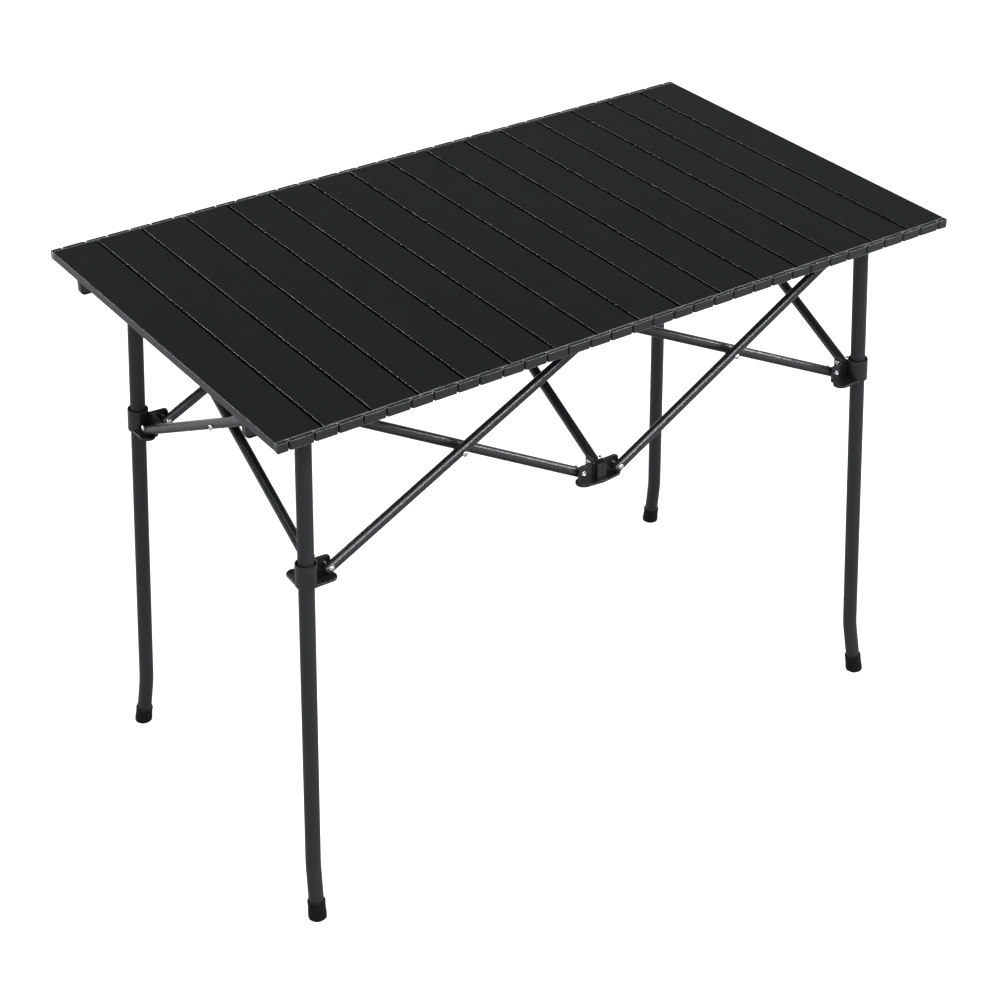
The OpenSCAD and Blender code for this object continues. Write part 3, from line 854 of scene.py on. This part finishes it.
def slat_ends(place, first, last):
    """The caps of a slat, the bosses in their middle and the links or corner blocks beside them."""
    shape = Shape()
    inner, outer = TOP_W / 2 - END_DEPTH, TOP_W / 2
    corner_w = PITCH / 2 - BOSS_W / 2 - SLOT_W
    link, tongue = LINK_W / 2, LINK_W / 2 - LINK_INSET
    for side in (1, -1):
        at = place @ flip(y=side)
        end_bar(shape, at, SLAT_GAP / 2, PITCH - SLAT_GAP / 2, inner - CAP_T, inner, 0, 0)
        end_bar(shape, at, (PITCH - BOSS_W) / 2, (PITCH + BOSS_W) / 2, inner - BLOCK_LAP, outer)
        if first:
            end_bar(shape, at, 0, corner_w, inner - BLOCK_LAP, outer, left_r=CORNER_R)
        if last:
            end_bar(shape, at, PITCH - corner_w, PITCH, inner - BLOCK_LAP, outer, right_r=CORNER_R)
        else:
            end_bar(shape, at, PITCH - link, PITCH + link, inner + LINK_PLAY, outer)
            near, far = inner - LINK_LAP, inner + LINK_PLAY + LINK_LAP
            end_bar(shape, at, PITCH - tongue, PITCH - LINK_INSET, near, far, 0, 0)
    return shape


def latch():
    """A latch at the rear right: a plate, the wall that stops the leg's head, and the hook."""
    shape, place = Shape(), Matrix()
    head_x = FLOOR_X - (SLAT_Z - TOP_GAP) * math.tan(LEAN_X)
    head_y = FLOOR_Y - (SLAT_Z - TOP_GAP) * math.tan(LEAN_Y)
    wall_x, plate_x = head_x + COLLAR_R + LATCH_CLEAR, TOP_L / 2 - LATCH_END
    near, far = head_y - LATCH_W / 2, head_y + LATCH_W / 2
    block(shape, place, wall_x, plate_x, near, far, SLAT_Z - LATCH_T, SLAT_Z, corner_r=2)
    low, high = SLAT_Z - LATCH_WALL_DROP, SLAT_Z - LATCH_LAP
    block(shape, place, wall_x, wall_x + LATCH_WALL_T, near, far, low, high, corner_r=1)
    outline = rounded_rectangle(-HOOK_L, 0, -HOOK_DROP, 0, HOOK_CORNERS, 6)
    half = HOOK_W / 2
    below = [(inset, -half - z) for inset, z in HOOK_RIM[::-1]]
    above = [(inset, half + z) for inset, z in HOOK_RIM]
    at = place @ shift(TOP_L / 2 - HOOK_INSET, head_y, SLAT_Z) @ turn("X", 90)
    plate(shape, at, outline, below + rounded(-half, half, 0.5) + above)
    return shape


# ---- pieces ----


def placed(shape, place):
    """A copy of the shape moved from the rear right corner to another."""
    moved = Shape()
    moved.add(shape.points, shape.faces, place)
    return moved


def make_brace(node, place, a, b, rivet=None):
    """A brace's pieces. rivet is the place of its crossing rivet, if it holds one."""
    placed(brace_tube(a, b), place).finish(node + "_tube", node, "brace_paint", BRACE_PAINT, node)
    placed(brace_plugs(a, b), place).finish(node + "_plugs", node, "bracket_plastic", BRACKET)
    if rivet is not None:
        crossing_rivet(rivet).finish(node + "_rivet", node, "rivet_steel", STEEL)
        crossing_spacer(rivet).finish(node + "_spacer", node, "bracket_plastic", BRACKET)


def side_offset(outer):
    """How far a brace lies from its plane, outside or inside the ears."""
    return -EAR_INSET + (BRACE_OUT if outer else -BRACE_OUT)


def make_corner(side, end):
    """A leg with its foot, head and slider, and the two side braces that hang on it."""
    name, here = f"{side}_{end}", corner(side, end)
    same = SIGN[side] == SIGN[end]
    leg, sliding = f"leg_{name}", f"slider_{name}"

    tube = Shape()
    sweep(tube, leg_path(), LEG_R, LEG_SIDES)
    placed(tube, here).finish(f"leg_{name}_tube", leg, "leg_paint", LEG_PAINT, f"leg_tube_{name}")
    foot = Shape()
    profile = [*FOOT_SOLE, *FOOT_CUFF, (10.3, FOOT_H), (LEG_R + 0.1, FOOT_H - 0.4)]
    profile += [(LEG_R + 0.1, FOOT_FLOOR), (0, FOOT_FLOOR)]
    lathe(foot, at_foot(), profile, LEG_SIDES)
    foot.limit(low=0)
    placed(foot, here).finish(f"leg_{name}_foot", leg, "foot_rubber", RUBBER, f"foot_{name}")

    node = f"leg_head_{name}"
    placed(leg_head(), here).finish(f"leg_{name}_head", leg, "bracket_plastic", BRACKET, node)
    rivets = bracket_rivets(HEAD_Z, not same, same)
    placed(rivets, here).finish(f"leg_{name}_rivets", leg, "rivet_steel", STEEL)
    placed(slider(), here).finish(f"{sliding}_body", sliding, "bracket_plastic", BRACKET, sliding)
    rivets, node = bracket_rivets(SLIDER_Z, same, not same), f"slider_rivets_{name}"
    placed(rivets, here).finish(f"{sliding}_rivet_pair", sliding, "rivet_steel", STEEL, node)

    plane = here @ SIDE_PLANE
    place = plane @ shift(0, side_offset(same), 0)
    make_brace(f"brace_slider_{name}", place, SIDE_UPPER, SIDE_SLIDER)
    place = plane @ shift(0, side_offset(not same), 0)
    rivet = plane @ shift(SIDE_CROSSING.x, -EAR_INSET, SIDE_CROSSING.y) @ turn("X", 90)
    make_brace(f"brace_head_{name}", place, SIDE_LOWER, SIDE_HEAD, rivet)


def make_hubs(side):
    here = corner(side, "right")
    for level, up in (("lower", SIDE_LOWER.y), ("upper", SIDE_UPPER.y)):
        body, node = f"hub_{level}_{side}", f"{level}_hub_{side}"
        moulding = placed(hub(up, level == "lower"), here)
        moulding.finish(f"{body}_body", body, "bracket_plastic", BRACKET, node)
        rivets = hub_rivets(up, (side == "front") == (level == "lower"))
        name = f"{level}_hub_rivets_{side}"
        placed(rivets, here).finish(f"{body}_rivets", body, "rivet_steel", STEEL, name)


def make_end_brace(end, side):
    outer = SIGN[end] == SIGN[side]
    here = corner(side, end) @ END_PLANE
    place = here @ shift(side_offset(outer), 0, 0) @ turn("Z", 90)
    rivet = here @ shift(-EAR_INSET, 0, END_CROSSING.y) @ turn("Y", 90)
    far = Vector((-END_SLIDER.x, END_SLIDER.y))
    make_brace(f"brace_{end}_from_{side}", place, far, END_HEAD, rivet if outer else None)


def make_middle_brace(side):
    place = shift(SIGN[side] * BRACE_OUT, 0, 0) @ corner(side, "right") @ turn("Z", 90)
    rivet = shift(0, 0, MIDDLE_CROSSING.y) @ turn("Y", 90) if side == "front" else None
    far = Vector((-MIDDLE_LOWER.x, MIDDLE_LOWER.y))
    make_brace(f"brace_middle_from_{side}", place, far, MIDDLE_UPPER, rivet)


def make_slat(number):
    name = f"slat_{number:02d}"
    place = shift((number - 1) * PITCH - TOP_L / 2, 0, 0)
    last = number == SLATS
    slat_extrusion(place, not last).finish(f"{name}_extrusion", name, "slat_aluminium", SLAT, name)
    slat_ends(place, number == 1, last).finish(f"{name}_ends", name, "slat_aluminium", CAP)


def make_latches(end, slat):
    shape = Shape()
    for side in ("front", "rear"):
        part = latch()
        shape.add(part.points, part.faces, corner(side, end))
    shape.finish(f"latch_pair_{end}", slat, "latch_plastic", LATCH, f"latches_{end}")


for side, end in CORNERS:
    make_corner(side, end)
for side in ("front", "rear"):
    make_hubs(side)
    make_middle_brace(side)
    for end in ("left", "right"):
        make_end_brace(end, side)
for number in range(1, SLATS + 1):
    make_slat(number)
make_latches("left", "slat_01")
make_latches("right", f"slat_{SLATS:02d}")

# ---- stage ----

FLOOR_REACH = 14
FLOOR_GREY = (0.42, 0.42, 0.42)
FLOOR_GLOW = 0.80
FLOOR_ROUGHNESS = 0.9
FLOOR_SPECULAR = 0.1
SKY_STRENGTH = 0.95
SKY_GROUND = (0.10, 0.10, 0.105)
SKY_BANDS = ((0.20, 0.50), (0.40, 0.95), (0.51, 0.85), (0.64, 0.048))
SKY_OVERHEAD = (0.040, 0.044, 0.052)
SKY_TINT = 1.03
LENS_MM = 77.37
SENSOR_MM = 36
CAMERA_AT = (-1.3577, -1.9554, 1.8495)
CAMERA_AIM = (-0.0076, 0, 0.3228)


def floor():
    mesh = bpy.data.meshes.new("floor")
    far = FLOOR_REACH
    corners = [(-far, -far, 0), (far, -far, 0), (far, far, 0), (-far, far, 0)]
    mesh.from_pydata(corners, [], [[0, 1, 2, 3]])
    material = bpy.data.materials.new("pale_floor")
    material.use_nodes = True
    shader = material.node_tree.nodes["Principled BSDF"]
    shader.inputs["Base Color"].default_value = (*FLOOR_GREY, 1)
    shader.inputs["Roughness"].default_value = FLOOR_ROUGHNESS
    shader.inputs["Specular IOR Level"].default_value = FLOOR_SPECULAR
    shader.inputs["Emission Color"].default_value = (1, 1, 1, 1)
    shader.inputs["Emission Strength"].default_value = FLOOR_GLOW
    mesh.materials.append(material)
    piece = bpy.data.objects.new("floor", mesh)
    bpy.context.scene.collection.objects.link(piece)
    piece.visible_glossy = False


def aim(item, place, target):
    item.location = place
    item.rotation_euler = (Vector(target) - Vector(place)).to_track_quat("-Z", "Y").to_euler()


def add_light(name, kind, power, place, target):
    light = bpy.data.lights.new(name, kind)
    light.energy = power
    item = bpy.data.objects.new(name, light)
    bpy.context.scene.collection.objects.link(item)
    aim(item, place, target)
    return light


def soft_light(name, place, target, size, power):
    """A rectangular light, its size in metres and its power in watts."""
    light = add_light(name, "AREA", power, place, target)
    light.shape = "RECTANGLE"
    light.size, light.size_y = size


def sun(name, place, strength, softness):
    """A sun that shines from place to the middle; softness is its angle in degrees."""
    light = add_light(name, "SUN", strength, place, (0, 0, 0))
    light.angle = math.radians(softness)


def sky():
    """A studio that is bright all round below the horizon and dark overhead."""
    world = bpy.data.worlds.new("studio")
    world.use_nodes = True
    tree = world.node_tree
    split = add_node(tree, "ShaderNodeSeparateXYZ")
    tree.links.new(add_node(tree, "ShaderNodeTexCoord").outputs["Generated"], split.inputs[0])
    ramp = add_node(tree, "ShaderNodeValToRGB")
    bands = ramp.color_ramp.elements
    bands[0].position, bands[0].color = 0, (*SKY_GROUND, 1)
    bands[1].position, bands[1].color = 1, (*SKY_OVERHEAD, 1)
    for position, grey in SKY_BANDS:
        bands.new(position).color = (grey, grey, grey * SKY_TINT, 1)
    tree.links.new(mapped(tree, split.outputs["Z"], -1, 1, 0, 1), ramp.inputs["Fac"])
    tree.links.new(ramp.outputs["Color"], tree.nodes["Background"].inputs["Color"])
    tree.nodes["Background"].inputs["Strength"].default_value = SKY_STRENGTH
    bpy.context.scene.world = world


def camera():
    lens = bpy.data.cameras.new("camera")
    lens.sensor_width = SENSOR_MM
    lens.lens = LENS_MM
    item = bpy.data.objects.new("camera", lens)
    bpy.context.scene.collection.objects.link(item)
    aim(item, CAMERA_AT, CAMERA_AIM)
    bpy.context.scene.camera = item


floor()
sky()
sun("daylight", (-1.2, -1.5, 3.4), strength=2.25, softness=50)
soft_light("key", (-2.0, -2.4, 2.2), (0, 0, 0.5), size=(0.9, 0.9), power=30)
soft_light("rim_left", (-2.3, 3.0, 2.2), (0, 0, 0.7), size=(1.4, 0.6), power=150)
soft_light("rim_right", (2.2, -2.5, 3.2), (0, 0, 0.7), size=(1.4, 0.6), power=120)
soft_light("front", (-0.2, -2.9, 2.8), (0, 0, 0.4), size=(1.2, 1.0), power=65)
soft_light("side", (3.6, -1.2, 1.9), (0, 0, 0.4), size=(1.2, 0.8), power=80)
camera()
bpy.context.scene.view_settings.view_transform = "Standard"
